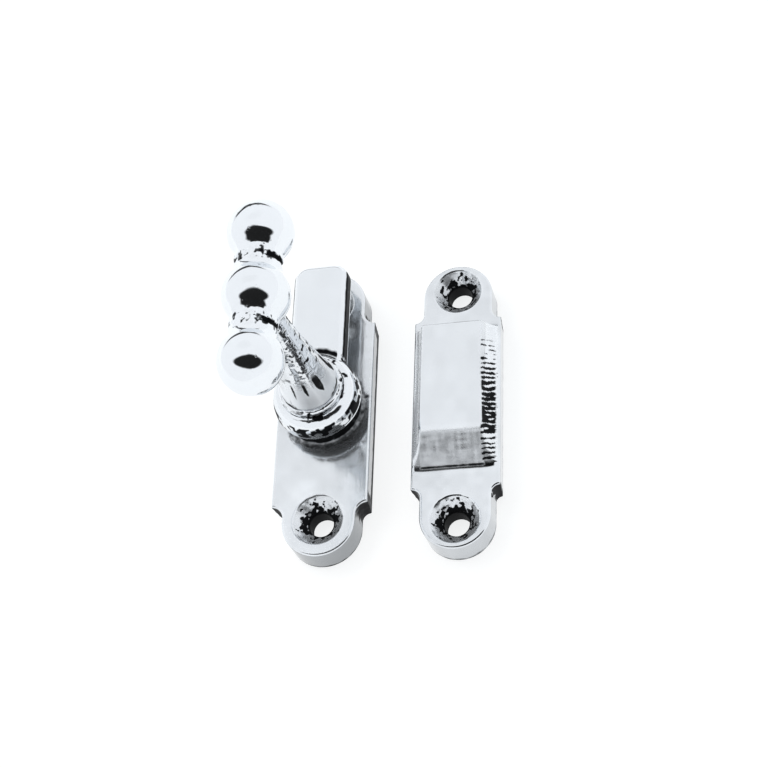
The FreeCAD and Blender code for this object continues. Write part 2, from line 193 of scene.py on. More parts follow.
def relax(V, Q, field):
    """Evens out the mesh by sliding each vertex towards the middle of its neighbours, along the surface."""
    acc = np.zeros_like(V)
    cnt = np.zeros(len(V))
    for a, b in ((0, 1), (1, 2), (2, 3), (3, 0)):
        np.add.at(acc, Q[:, a], V[Q[:, b]])
        np.add.at(acc, Q[:, b], V[Q[:, a]])
        np.add.at(cnt, Q[:, a], 1)
        np.add.at(cnt, Q[:, b], 1)
    d = acc / cnt[:, None] - V
    f, g = gradient(field, V, 0.03)
    g /= np.maximum(np.linalg.norm(g, axis=1), 1e-9)[:, None]
    d -= (d * g).sum(1)[:, None] * g
    return V + 0.6 * d


def gradient(field, V, e):
    x, y, z = V[:, 0], V[:, 1], V[:, 2]
    f = field(x, y, z)
    g = np.stack([field(x + e, y, z) - field(x - e, y, z),
                  field(x, y + e, z) - field(x, y - e, z),
                  field(x, y, z + e) - field(x, y, z - e)], 1) / (2 * e)
    return f, g


def cavity(field, V, N, reach):
    """0 on an open face, towards 1 down in a corner or notch, measured by stepping out of the surface."""
    total = np.zeros(len(V))
    weight = 0.0
    for k, r in enumerate(reach):
        P = V + N * r
        d = field(P[:, 0], P[:, 1], P[:, 2])
        total += (1.0 - np.clip(d / r, 0.0, 1.0)) * 0.8 ** k
        weight += 0.8 ** k
    return total / weight


def make_piece(name, field, skin_and_shade, lo, hi, h, body, node):
    V, Q = surface(field, lo, hi, h)
    f, g = gradient(field, V, 0.03)
    N = g / np.maximum(np.linalg.norm(g, axis=1), 1e-9)[:, None]
    me = bpy.data.meshes.new(name)
    me.from_pydata((V * 0.001).tolist(), [], Q.tolist())
    me.validate()
    me.polygons.foreach_set("use_smooth", np.ones(len(me.polygons), bool))
    me.normals_split_custom_set_from_vertices(N.tolist())
    att = me.attributes.new("cavity", "FLOAT", "POINT")
    att.data.foreach_set("value", cavity(field, V, N, (0.35, 0.8, 1.6)).astype(np.float32))
    dark, satin, haze_and_shade = skin_and_shade(V[:, 0], V[:, 1], V[:, 2])
    for key, val in (("dark", dark), ("satin", satin), ("haze_and_shade", haze_and_shade)):
        att = me.attributes.new(key, "FLOAT", "POINT")
        att.data.foreach_set("value", np.clip(np.broadcast_to(val, (len(V),)), 0.0, 1.0).astype(np.float32))
    ob = bpy.data.objects.new(name, me)
    bpy.context.scene.collection.objects.link(ob)
    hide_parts(node)
    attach(ob, body)
    return ob


# ------------------------------------------------------------------ the two plates

T = 5.6          # plate thickness


def plate_outline(x, y, half, lobe, tip, low, up):
    waist = np.maximum(np.abs(x) - half, np.maximum(y - up, -low - y))
    q = np.maximum(np.abs(y) - (tip - lobe), 0.0)
    ends = np.hypot(x, q) - lobe
    # scooped corner where the shoulder meets the lobe
    return join_round(waist, ends, np.maximum(half - lobe, 0.8))


def countersink(x, y, z, cx, cy, mouth, screw, depth):
    rho = np.hypot(x - cx, y - cy)
    slope = (mouth - screw) / depth
    cone = (rho - (screw + slope * (z - (T - depth)))) / math.hypot(1.0, slope)
    cone = cone + 0.022 * noise(x, y, z, 0.8, 81) * (1 + step(0.0, 2.5, y - cy))
    return smin(cone, rho - screw, 0.25)


def turn_field(x, y, z):
    drop = np.clip(T - z, 0.0, T)
    out = plate_outline(x, y, 8.72 - 0.11 * drop, 6.62 + 0.0 * drop, 28.05, 18.5, 17.0)
    sides = out + 0.02
    wave = 0.045 * noise(x, y, 0 * z, 6.0, 3) + 0.012 * noise(x, y, 0 * z, 2.4, 4)
    slab = meet_round(sides, z - (T - 0.06 + wave), 0.50)
    boss = meet_round(np.hypot(x, y) - 6.85, z - 9.12, 0.3)
    solid = join_round(slab, boss, 0.8)
    solid = meet_round(solid, -z, 0.30)
    for cy in (21.4, -21.4):
        solid = smax(solid, -countersink(x, y, z, 0.0, cy, 4.65, 2.17, 2.35), 0.22)
    hole = np.minimum(np.hypot(x, y) - 3.06, np.maximum(np.hypot(x, y) - 6.2, z - 2.9))
    return smax(solid, -hole, 0.12)


KX, KY = 23.95, -0.6


def rib(x, y, z):
    """Cross-marks in the hollow flank: about one a millimetre, none quite alike."""
    t = y + 0.38 * (z - 7.0) + 0.16 * noise(x, y, z, 1.3, 35)
    wave = np.sin(2 * math.pi * (t / 0.95 + 0.55 * noise(0 * x, y, 0 * z, 2.3, 36)))
    return 0.55 * wave + 0.40 * noise(x, y, z, (1.2, 0.55, 1.0), 34)


def speck(x, y, z, size, seed):
    return 0.6 * noise(x, y, z, size, seed) + 0.4 * noise(x, y, z, size * 0.5, seed + 1)


def keeper_field(X, Y, z):
    x = X - KX
    y = Y - KY
    ax = np.abs(x)
    drop = np.clip(T - z, 0.0, T)
    out = plate_outline(x, y, 7.90 - 0.10 * drop, 6.25 + 0.0 * drop, 27.65, 16.4, 16.4)
    sides = out + 0.02
    wave = 0.045 * noise(x, y, 0 * z, 6.0, 13) + 0.012 * noise(x, y, 0 * z, 2.4, 14)
    # the face dips a little just below the foot of the wedge
    dip = 0.16 * np.exp(-((y + 14.6) / 1.5) ** 2) * step(8.2, 5.5, ax)
    slab = meet_round(sides, z - (T - 0.06 + wave - dip), 0.50)
    # wedge: nearly level top, steep run down, hollow sides
    top = z - (8.86 + (y + 6.9) * (-0.45 / 21.3) + 0.012 * noise(x, y, 0 * z, 9.0, 21))
    run = ((z - T) * 6.0 - (y + 12.9) * 3.28) / math.hypot(6.0, 3.28)
    roof = smax(top, run, 0.9)
    cx, cz, R = np.where(x < 0, 9.40, 8.72), 9.02, 3.47
    dist = np.hypot(ax - cx, z - cz)
    flank = np.where(ax > cx, ax - cx + R, R - dist)
    scallop = 0.045 * step(13.0, 4.0, y) * step(-0.15, 0.45, rib(x, y, z)) * step(-13.2, -12.2, y)
    flank = flank + np.where(x > 0, scallop, 0.25 * scallop) * step(8.7, 8.0, z)
    flank = np.maximum(flank, sides + 0.5)
    block = smax(roof, flank, 0.55)
    end = y - 14.35
    block = smax(block, end, 0.45)
    solid = smin(slab, block, 0.35)
    solid = meet_round(solid, -z, 0.30)
    for cy in (22.3, -22.3):
        solid = smax(solid, -countersink(x, y, z, 0.0, cy, 4.5, 2.17, 2.35), 0.22)
    return solid


# ------------------------------------------------------------------ the handle


def tongue_field(x, y, z):
    rho = np.hypot(x, y)
    qx = np.abs(x) - (5.06 - 2.8)
    qy = y - (25.90 - 2.8)
    flat = np.hypot(np.maximum(qx, 0), np.maximum(qy, 0)) + np.minimum(np.maximum(qx, qy), 0) - 2.8
    flat = np.maximum(flat, -y)
    wave = 0.02 * noise(x, y, 0 * z, 6.0, 41)
    t = meet_bevel(flat + 0.02 * (z - 9.3), z - (12.66 + wave), 0.85, 0.25)
    t = meet_round(t, 9.33 - z, 0.22)
    wall = (rho - (7.92 - (z - 9.3) * 0.125)) * 0.992
    shoulder = ((rho - 7.5) * 1.1 + (z - 12.5) * 1.25) / 1.665
    hub = smax(smax(wall, shoulder, 0.9), z - 13.58, 0.35)
    hub = meet_round(hub, 9.33 - z, 0.25)
    # narrow groove where the tongue's face runs into the hub
    groove = np.hypot(rho - 7.75, z - 12.75) - 0.28
    groove = np.maximum(groove, np.abs(x) - 3.9)
    groove = np.maximum(groove, -y)
    solid = smin(t, hub, 0.25)
    solid = smax(solid, -groove, 0.15)
    hole = np.maximum(np.abs(x), np.abs(y)) - 2.33
    bump = 0.05 * noise(x, y, z, 1.5, 44) * step(7.6, 6.2, rho) * step(12.8, 13.4, z)
    return smax(solid - bump, -hole, 0.1)


def collar_field(x, y, z):
    rho = np.hypot(x, y)
    ring = meet_round(rho - 5.80, z - 15.08, 0.62)
    ring = meet_round(ring, 13.60 - z, 0.25)
    ring = np.maximum(ring, 3.40 - rho)
    hammer = 0.15 * noise(x, y, z, 1.15, 51) + 0.10 * noise(x, y, z, 0.6, 52)
    return ring - np.minimum(hammer, 0.02) * step(4.9, 5.5, rho)


def stem_radius(z):
    zs = (15.1, 16.0, 18.0, 20.5, 23.5, 27.0, 31.0, 35.0, 38.5, 40.4, 46.0)
    rs = (5.16, 4.95, 4.62, 4.24, 3.82, 3.38, 2.95, 2.62, 2.47, 2.46, 2.46)
    return np.interp(z, zs, rs)


def stem_field(x, y, z):
    rho = np.hypot(x, y)
    R = (stem_radius(z - 0.6) + stem_radius(z) * 2 + stem_radius(z + 0.6)) * 0.25
    ang = np.arctan2(y, x)
    # long shallow flats, each running up the cone
    flats = 0.055 * noise(np.cos(ang) * 3.0, np.sin(ang) * 3.0, z / 16.0, 1.0, 61) \
        + 0.022 * noise(np.cos(ang) * 7.0, np.sin(ang) * 7.0, z / 11.0, 1.0, 62)
    skin = noise(x, y, z, 0.85, 63) * 0.6 + noise(x, y, z, 0.45, 64) * 0.4
    rough = 0.16 * np.minimum(skin, 0.12) * step(20.5, 25.0, z) * step(41.0, 37.0, z) * (0.35 + 0.65 * step(-0.2, 0.5, noise(x, y, z, 4.0, 65)))
    side = (rho - R - np.minimum(flats, 0.03) - rough) * 0.988
    body = smax(side, 15.12 - z, 0.25)
    body = smax(body, z - 40.38, 0.05)
    tenon = np.maximum(rho - 1.6, np.maximum(z - 44.0, 40.0 - z))
    socket = np.maximum(rho - 2.05, z - 23.0)
    return np.maximum(np.minimum(body, tenon), -socket)


BZ = 45.45


def bar_field(x, y, z):
    w = z - BZ
    rr = np.hypot(x, w)
    a = np.sqrt(x * x + y * y + w * w) - 5.60
    b = np.sqrt(x * x + (y - 11.75) ** 2 + w * w) - 5.55
    c = np.sqrt(x * x + (y + 11.75) ** 2 + w * w) - 5.40
    # a little out of round
    dent = 0.032 * noise(x, y, w, 1.9, 77)
    a = a - 0.07 * noise(x, y, w, 6.5, 71) - dent
    b = b - 0.06 * noise(x, y, w, 6.5, 72) - dent
    c = c - 0.045 * noise(x, y, w, 7.5, 73) - dent
    neck = np.maximum(rr - 3.95, np.abs(y) - 11.75)
    solid = smin(smin(a, smin(b, c, 0.5), 0.5), neck, 0.7)
    near = np.exp(-((np.abs(y) - 5.9) / 1.35) ** 2)
    skin = noise(x, y, w, 0.9, 74) * 0.6 + noise(x, y, w, 0.5, 75) * 0.4
    solid = solid - 0.24 * np.minimum(skin, 0.1) * near
    # a chisel-like nick where each pair of balls meets, deepest on the side of the stem's lean
    solid = solid + 0.45 * np.exp(-((np.abs(y) - 5.95) / 0.38) ** 2) * step(0.5, 3.2, x + 0.5 * skin)
    foot = step(42.6, 40.8, z) * np.exp(-(np.abs(y) / 4.5) ** 2)
    solid = solid - 0.12 * np.minimum(skin, 0.1) * foot
    solid = smax(solid, np.where(np.hypot(x, y) < 3.25, 40.42 - z, -1.0), 0.05)
    hole = np.maximum(np.hypot(x, y) - 1.63, z - 44.2)
    return np.maximum(solid, -hole)


# ------------------------------------------------------------------ dark marks (unpolished skin, and painted shade and reflection in holes, hollows, creases, under parts and along the ground line), satin, and greying (random tone, and painted shade on walls and the wedge top), as attributes of the surface


def hole_dark(x, y, z, cx, cy, mouth, screw):
    """Screw holes: painted shade down the bore, and dark patches all round the cone, more of them further in: partly
    casting skin, partly painted shade.
    """
    rho = np.hypot(x - cx, y - cy)
    bore = step(screw + 0.36, screw + 0.14, rho) * step(T - 1.9, T - 2.4, z)
    n = speck(x, y, z, 0.62, 83)
    deep = (mouth - rho) / (mouth - screw)
    cone = step(0.05, 0.35, n + 0.9 * deep - 0.40) * step(mouth + 0.02, mouth - 0.15, rho) * step(T - 2.7, T - 2.2, z)
    return np.maximum(bore, cone)


def turn_skin_and_shade(x, y, z):
    rho = np.hypot(x, y)
    d = np.maximum(hole_dark(x, y, z, 0.0, 21.4, 4.65, 2.17), hole_dark(x, y, z, 0.0, -21.4, 4.65, 2.17))
    # painted shade: the pedestal wall under the hub's overhang darkened, with speckle
    boss = step(7.6, 7.15, rho) * step(T + 0.15, T + 0.6, z) * (0.75 + 0.25 * step(-0.4, 0.2, speck(x, y, z, 0.9, 91)))
    # painted shade: a dark ring on the plate face round the pedestal's foot, under the hub
    ring = step(8.7, 7.5, rho + 0.8 * speck(x, y, z, 0.9, 93)) * step(T - 0.4, T, z) * 0.6
    face = step(T - 0.5, T - 0.15, z)
    wall = step(6.62, 6.7, np.abs(x)) * step(T - 0.5, T - 1.0, z)
    # painted shade: the side walls darkened towards the floor, and a dark line all along the ground
    foot = step(2.4, 1.8, z + 0.35 * speck(x, y, 0 * z, 1.3, 92)) * step(6.8, 7.2, np.abs(x)) * step(18.2, 17.0, np.abs(y))
    foot = np.maximum(foot, step(0.75, 0.35, z + 0.25 * speck(x, y, 0 * z, 1.3, 92)) * 0.8)
    # painted shade: the scooped notch corners darkened
    corner = np.minimum(np.hypot(np.abs(x) - 7.9, y + 18.7), np.hypot(np.abs(x) - 7.9, y - 17.3))
    notch = step(2.9, 1.9, corner + 0.6 * speck(x, y, z, 0.6, 94)) * step(T - 0.15, T - 0.6, z) * 0.8
    d = np.maximum(np.maximum(d, boss), np.maximum(ring, np.maximum(foot, notch)))
    cone = step(4.75, 4.6, np.hypot(x, np.abs(y) - 21.4)) * step(T - 0.12, T - 0.3, z)
    satin = 0.12 * wall + 0.10 * step(0.0, 0.6, noise(x, y, z, 5.0, 95)) + 0.28 * cone + 0.18 * face
    # greying: random tone, plus painted shade on the side walls in patches
    haze_and_shade = 0.16 + 0.10 * noise(x, y, 0 * z, 4.6, 88) + 0.05 * noise(x, y, 0 * z, 1.6, 84) + 0.04 * wall + 0.22 * step(0.1, 0.5, speck(x, y, z, 1.1, 89)) * wall
    return d, satin, haze_and_shade


def keeper_skin_and_shade(X, Y, z):
    x, y = X - KX, Y - KY
    d = np.maximum(hole_dark(x, y, z, 0.0, 22.3, 4.5, 2.17), hole_dark(x, y, z, 0.0, -22.3, 4.5, 2.17))
    on_flank = step(T + 0.15, T + 0.5, z) * step(4.7, 5.0, np.where(x < 0, -x - 0.85, x)) * step(8.75, 8.45, z)
    # dark strokes along the ribs, on the right flank only
    ribs = step(0.05, 0.25, rib(x, y, z) + 0.62 * step(9.0, -4.0, y) - 0.30 * step(4.0, 11.0, y) - 0.62 * step(-6.8, -7.6, y)) * step(13.5, 8.0, y) * step(-13.4, -12.6, y)
    d = np.maximum(d, ribs * on_flank * (x > 0))
    # painted shade: the notch corners darkened
    corner = np.minimum(np.hypot(np.abs(x) - 7.3, y + 16.8), np.hypot(np.abs(x) - 7.3, y - 16.8))
    notch = step(1.45, 0.8, corner + 0.6 * speck(x, y, z, 0.6, 102)) * step(T - 0.15, T - 0.6, z)
    d = np.maximum(d, notch)
    # painted shade: a dark line all along the ground
    foot = step(1.0, 0.5, z + 0.3 * speck(x, y, 0 * z, 1.3, 103)) * 0.55
    d = np.maximum(d, foot)
    run = step(-6.6, -7.3, y) * step(-13.0, -12.6, y) * step(5.4, 5.0, np.where(x < 0, -x - 0.9, x))
    fuzz = noise(x, y, z, (2.2, 0.42, 9.0), 109) * 0.5 + noise(x, y, z, (0.55, 1.6, 9.0), 110) * 0.5
    satin = run * np.clip(0.70 - 0.30 * fuzz, 0.12, 1.0)
    satin = np.maximum(satin, on_flank * 0.5)
    # painted shade: the crease at the foot of the run darkened
    d = np.maximum(d, 0.8 * step(-12.25, -12.5, y) * run)
    wall = step(7.1, 7.4, np.abs(x)) * step(T - 0.4, T - 0.9, z)
    # painted shade: the wedge top greyed
    haze_and_shade = 0.22 * step(7.5, 8.2, z) * (0.75 + 0.25 * noise(x, y, z, (2.0, 3.0, 5.0), 86))
    # random greying of the plate face, plus painted shade on the side walls
    haze_and_shade = haze_and_shade + step(T + 0.4, T, z) * (0.20 + 0.12 * noise(x, y, 0 * z, 3.8, 87) + 0.05 * noise(x, y, 0 * z, 1.4, 90)) + 0.06 * wall
    cone = step(4.6, 4.45, np.hypot(x, np.abs(y) - 22.3)) * step(T - 0.12, T - 0.3, z)
    return d, satin + 0.08 * step(0.0, 0.6, noise(x, y, z, 6.0, 108)) + 0.32 * cone, haze_and_shade


def tongue_skin_and_shade(x, y, z):
    rho = np.hypot(x, y)
    # painted shade: the tongue's side walls darkened
    wall = step(4.55, 4.85, np.abs(x)) * step(9.75, 10.0, z) * step(12.25, 11.9, z) * step(7.9, 8.6, rho)
    # painted dark reflection, in patches, all round the hub's side wall
    low = step(8.3, 7.3, rho) * step(7.0, 7.5, rho) * step(9.72, 9.95, z) * step(12.35, 12.0, z + 0.15 * speck(x, y, z, 0.8, 112))
    # painted shade in the groove where the tongue's face runs into the hub
    groove = np.exp(-((rho - 7.8) / 0.6) ** 2) * step(13.0, 12.75, z) * step(12.2, 12.5, z) * (np.abs(x) < 4.0) * (y > 0)
    patches = step(-0.2, 0.3, speck(x, y, z, 0.9, 117) + 0.6 * noise(x, y, z, 2.6, 114) + 0.15)
    edge = step(6.9, 7.15, rho) * step(8.6, 8.2, rho) * step(12.3, 12.1, z) * step(9.72, 9.95, z)
    low = np.maximum(low, edge) * patches
    # painted shade on the underside of the tongue and hub
    under = step(9.6, 9.4, z) * 0.35
    top_front = step(13.15, 13.4, z) * step(0.05, 0.35, speck(x, y, z, 1.0, 113) + 0.5 * noise(x, y, z, 2.4, 116) - 0.05) * (rho < 6.9)
    d = np.maximum(np.maximum(wall * 0.9, low), np.maximum(groove * 0.9, np.maximum(under, top_front * 0.9)))
    haze_and_shade = 0.10 + 0.0 * x
    return d, 0.05 + 0 * x, haze_and_shade


def collar_skin_and_shade(x, y, z):
    n = speck(x, y, z, 0.7, 121)
    d = step(0.08, 0.30, n + 0.06) * step(15.25, 14.95, z + 0.25 * n)
    broken = step(-0.1, 0.4, noise(x, y, z, 2.4, 122) + 0.05)
    # hammered speckle on the collar, plus painted shade in a broken ring at its foot, where it sits on the hub
    return np.maximum(d * (0.35 + 0.65 * broken), step(13.95, 13.7, z) * broken), 0.1 + 0 * x, 0.12 + 0 * x


def stem_skin_and_shade(x, y, z):
    ang = np.arctan2(y, x)
    n = speck(x, y, z, 0.75, 63)
    patchy = noise(x, y, z, (3.0, 3.0, 5.0), 131)
    d = step(0.16, 0.40, n + 0.25 * patchy) * step(20.5, 25.5, z) * step(40.5, 36.5, z)
    lines = noise(np.cos(ang) * 3.4, np.sin(ang) * 3.4, z / 9.0, 0.55, 132)
    d2 = step(0.37, 0.52, lines) * step(15.4, 16.8, z) * step(25.0, 20.5, z)
    # painted shade: a broken dark ring at the stem's root on the collar
    root = step(16.0, 15.4, z + 0.5 * speck(x, y, z, 0.8, 133)) * 0.9 * step(-0.1, 0.4, noise(x, y, z, 2.6, 134))
    return np.maximum(d * 0.9, np.maximum(d2 * 0.9, root)), 0.05 + 0.68 * step(24.5, 19.0, z + 1.5 * patchy), 0.12 + 0.25 * step(0.0, 0.6, patchy)


def bar_skin_and_shade(x, y, z):
    w = z - BZ
    rr = np.hypot(x, w)
    n = speck(x, y, w, 0.8, 74)
    near = np.exp(-((np.abs(y) - 5.9) / 1.5) ** 2)
    # dark speckle near the necks: rough casting skin, partly painted shade in the creases between balls
    d = 0.75 * step(0.50, 0.70, n * 0.75 + near * 0.5) * step(0.25, 0.6, near)
    # painted shade in the neck creases, heavier on the +x side
    core = step(0.55, 0.25, np.abs(np.abs(y) - 5.9) + 0.45 * n) * 0.95 * step(-0.15, 0.35, 0.8 * noise(x, y, w, 1.1, 76) + 1.25 * step(1.2, 2.8, x) - 0.62)
    nickd = step(0.62, 0.38, np.abs(np.abs(y) - 5.95) + 0.30 * n) * step(1.6, 2.8, x + 0.6 * n)
    core = np.maximum(core, nickd)
    # painted shade where the stem meets the middle ball, with speckle
    seat = step(42.9, 41.2, z) * np.exp(-(np.hypot(x, y) / 3.6) ** 2)
    d = np.maximum(np.maximum(d, core), step(0.35, 0.6, n * 0.7 + seat * 0.7) * step(0.15, 0.4, seat))
    haze_and_shade = 0.05 + 0.0 * x
    return d, 0.03 + 0 * x, haze_and_shade


h = GRID
turn = make_piece("turn_plate_cast", turn_field, turn_skin_and_shade, (-9.2, -28.6, -0.5), (9.2, 28.6, 9.7), h, "turn_plate", "turn_backplate")
keeper = make_piece("keeper_cast", keeper_field, keeper_skin_and_shade, (KX - 8.4, KY - 28.2, -0.5), (KX + 8.4, KY + 28.2, 9.4), h, "keeper", "keeper_plate")
tongue = make_piece("tongue_cast", tongue_field, tongue_skin_and_shade, (-8.4, -8.4, 8.8), (8.4, 26.1, 14.1), h, "handle", "tongue_cam")
collar = make_piece("collar_ring", collar_field, collar_skin_and_shade, (-6.3, -6.3, 13.1), (6.3, 6.3, 15.6), h * 0.85, "handle", "stem_collar")
stem = make_piece("stem_cast", stem_field, stem_skin_and_shade, (-5.7, -5.7, 14.6), (5.7, 5.7, 44.5), h, "handle", "handle_stem")
bar = make_piece("ball_bar_cast", bar_field, bar_skin_and_shade, (-6.2, -17.7, 39.3), (6.2, 17.9, 51.6), h, "handle", "ball_bar")

# ------------------------------------------------------------------ materials


def nodes_of(name):
    m = bpy.data.materials.new(name)
    m.use_nodes = True
    nt = m.node_tree
    return m, nt, nt.nodes["Principled BSDF"]


def link(nt, a, b):
    nt.links.new(a, b)


def ramp(nt, fac, stops, interp="LINEAR"):
    n = nt.nodes.new("ShaderNodeValToRGB")
    n.color_ramp.interpolation = interp
    els = n.color_ramp.elements
    while len(els) < len(stops):
        els.new(0.5)
    for e, (p, c) in zip(els, stops):
        e.position = p
        e.color = (c, c, c, 1) if not isinstance(c, tuple) else (c[0], c[1], c[2], 1)
    link(nt, fac, n.inputs["Fac"])
    return n.outputs["Color"]


def math_node(nt, op, a, b, clamp=False):
    n = nt.nodes.new("ShaderNodeMath")
    n.operation = op
    n.use_clamp = clamp
    for i, v in enumerate((a, b)):
        if isinstance(v, (int, float)):
            n.inputs[i].default_value = v
        else:
            link(nt, v, n.inputs[i])
    return n.outputs[0]


def tex_noise(nt, vec, scale, detail, rough=0.5):
    n = nt.nodes.new("ShaderNodeTexNoise")
    n.inputs["Scale"].default_value = scale
    n.inputs["Detail"].default_value = detail
    n.inputs["Roughness"].default_value = rough
    link(nt, vec, n.inputs["Vector"])
    return n.outputs["Fac"]


def stretched(nt, src, scale):
    n = nt.nodes.new("ShaderNodeMapping")
    n.inputs["Scale"].default_value = scale
    link(nt, src, n.inputs["Vector"])
    return n.outputs["Vector"]


def chrome(name, tint=(0.925, 0.935, 0.95), grain=(1, 1, 1), lines=0.15, pits=0.5, base_rough=0.055, seed=0.0, painted_wall_shade=0.0):
    """Hand-polished chrome plate over a casting: painted shade darkening the hollows, polishing lines along one axis,
    small pits.
    """
    m, nt, p = nodes_of(name)
    tc = nt.nodes.new("ShaderNodeTexCoord").outputs["Object"]
    off = nt.nodes.new("ShaderNodeVectorMath")
    off.operation = "ADD"
    off.inputs[1].default_value = (seed, seed * 0.7, seed * 0.3)
    link(nt, tc, off.inputs[0])
    v = off.outputs[0]
    cav = nt.nodes.new("ShaderNodeAttribute")
    cav.attribute_name = "cavity"
    cavity_v = cav.outputs["Fac"]
    cloud = tex_noise(nt, v, 160.0, 3.0)
    fine = tex_noise(nt, v, 900.0, 2.0)
    line = tex_noise(nt, stretched(nt, v, grain), 1.0, 2.0, 0.6)
    pit = tex_noise(nt, v, 1500.0, 1.0, 0.4)
    pit_mask = ramp(nt, pit, [(0.0, 1.0), (0.27, 1.0), (0.33, 0.0), (1.0, 0.0)])
    # colour: plate tint, a trace greyer in cloudy patches, and painted shade darkening the hollows by the cavity
    # measure
    shade = ramp(nt, cavity_v, [(0.0, 1.0), (0.28, 0.97), (0.55, 0.62), (0.9, 0.25)])
    tone = ramp(nt, cloud, [(0.3, tuple(c * 0.965 for c in tint)), (0.7, tint)])
    mix = nt.nodes.new("ShaderNodeMix")
    mix.data_type = "RGBA"
    mix.blend_type = "MULTIPLY"
    mix.inputs["Factor"].default_value = 1.0
    link(nt, tone, mix.inputs["A"])
    link(nt, shade, mix.inputs["B"])
    colour = mix.outputs["Result"]
    # painted shade: faces that stand steep get a darker colour than level faces
    if painted_wall_shade > 0:
        geo = nt.nodes.new("ShaderNodeTexCoord").outputs["Normal"]
        sep = nt.nodes.new("ShaderNodeSeparateXYZ")
        link(nt, geo, sep.inputs[0])
        up = math_node(nt, "ABSOLUTE", sep.outputs["Z"], 0.0)
        dark = ramp(nt, up, [(0.0, 1.0 - painted_wall_shade), (0.22, 1.0 - painted_wall_shade), (0.45, 1.0)])
        mw = nt.nodes.new("ShaderNodeMix")
        mw.data_type = "RGBA"
        mw.blend_type = "MULTIPLY"
        mw.inputs["Factor"].default_value = 1.0
        link(nt, colour, mw.inputs["A"])
        link(nt, dark, mw.inputs["B"])
        colour = mw.outputs["Result"]
    # the dark attribute pulls the colour towards near-black: unpolished skin, and painted shade where it marks holes,
    # corners, creases, under parts, the hub wall and the ground line
    da = nt.nodes.new("ShaderNodeAttribute")
    da.attribute_name = "dark"
    sa = nt.nodes.new("ShaderNodeAttribute")
    sa.attribute_name = "satin"
    ha = nt.nodes.new("ShaderNodeAttribute")
    ha.attribute_name = "haze_and_shade"
    # greys the colour: random tone, with painted shade on side walls and the wedge top
    hk = math_node(nt, "SUBTRACT", 1.0, math_node(nt, "MULTIPLY", ha.outputs["Fac"], 0.56))
    hm = nt.nodes.new("ShaderNodeMix")
    hm.data_type = "RGBA"
    hm.blend_type = "MULTIPLY"
    hm.inputs["Factor"].default_value = 1.0
    hc = nt.nodes.new("ShaderNodeCombineColor")
    for i, k in enumerate((0.975, 0.995, 1.01)):
        link(nt, math_node(nt, "MULTIPLY", hk, k), hc.inputs[i])
    link(nt, colour, hm.inputs["A"])
    link(nt, hc.outputs[0], hm.inputs["B"])
    colour = hm.outputs["Result"]
    edge = math_node(nt, "MULTIPLY", math_node(nt, "SUBTRACT", fine, 0.5), 0.7)
    dark_f = math_node(nt, "ADD", da.outputs["Fac"], edge)
    mr = nt.nodes.new("ShaderNodeMapRange")
    mr.interpolation_type = "SMOOTHSTEP"
    mr.inputs["From Min"].default_value = 0.12
    mr.inputs["From Max"].default_value = 0.85
    link(nt, dark_f, mr.inputs["Value"])
    dm = nt.nodes.new("ShaderNodeMix")
    dm.data_type = "RGBA"
    link(nt, mr.outputs["Result"], dm.inputs["Factor"])
    link(nt, colour, dm.inputs["A"])
    dm.inputs["B"].default_value = (0.011, 0.012, 0.014, 1)
    colour = dm.outputs["Result"]
    link(nt, colour, p.inputs["Base Color"])
    mt = math_node(nt, "SUBTRACT", 1.0, math_node(nt, "MULTIPLY", sa.outputs["Fac"], 0.75), True)
    link(nt, mt, p.inputs["Metallic"])
    r = math_node(nt, "MULTIPLY", line, 0.05)
    r = math_node(nt, "ADD", r, base_rough - 0.025)
    r2 = math_node(nt, "MULTIPLY", cavity_v, 0.22)
    r = math_node(nt, "ADD", r, r2)
    r = math_node(nt, "ADD", r, math_node(nt, "MULTIPLY", sa.outputs["Fac"], 0.42))
    r = math_node(nt, "ADD", r, math_node(nt, "MULTIPLY", mr.outputs["Result"], 0.40), True)
    link(nt, r, p.inputs["Roughness"])
    h1 = math_node(nt, "MULTIPLY", line, lines)
    h2 = math_node(nt, "MULTIPLY", pit_mask, -pits)
    h3 = math_node(nt, "MULTIPLY", fine, 0.25)
    hsum = math_node(nt, "ADD", math_node(nt, "ADD", h1, h2), h3)
    b = nt.nodes.new("ShaderNodeBump")
    b.inputs["Strength"].default_value = 0.35
    b.inputs["Distance"].default_value = 0.00003
    link(nt, hsum, b.inputs["Height"])
    link(nt, b.outputs["Normal"], p.inputs["Normal"])
    return m


def steel(name, tint, rough, scale):
    m, nt, p = nodes_of(name)
    tc = nt.nodes.new("ShaderNodeTexCoord").outputs["Object"]
    n = tex_noise(nt, stretched(nt, tc, (1, 1, 12)), scale, 3.0)
    c = ramp(nt, n, [(0.3, tuple(x * 0.8 for x in tint)), (0.7, tint)])
    link(nt, c, p.inputs["Base Color"])
    p.inputs["Metallic"].default_value = 1.0
    r = math_node(nt, "ADD", math_node(nt, "MULTIPLY", n, 0.2), rough - 0.1)
    link(nt, r, p.inputs["Roughness"])
    b = nt.nodes.new("ShaderNodeBump")
    b.inputs["Strength"].default_value = 0.4
    b.inputs["Distance"].default_value = 0.00003
    link(nt, n, b.inputs["Height"])
    link(nt, b.outputs["Normal"], p.inputs["Normal"])
    return m


def dress(ob, mat):
    ob.data.materials.clear()
    ob.data.materials.append(mat)


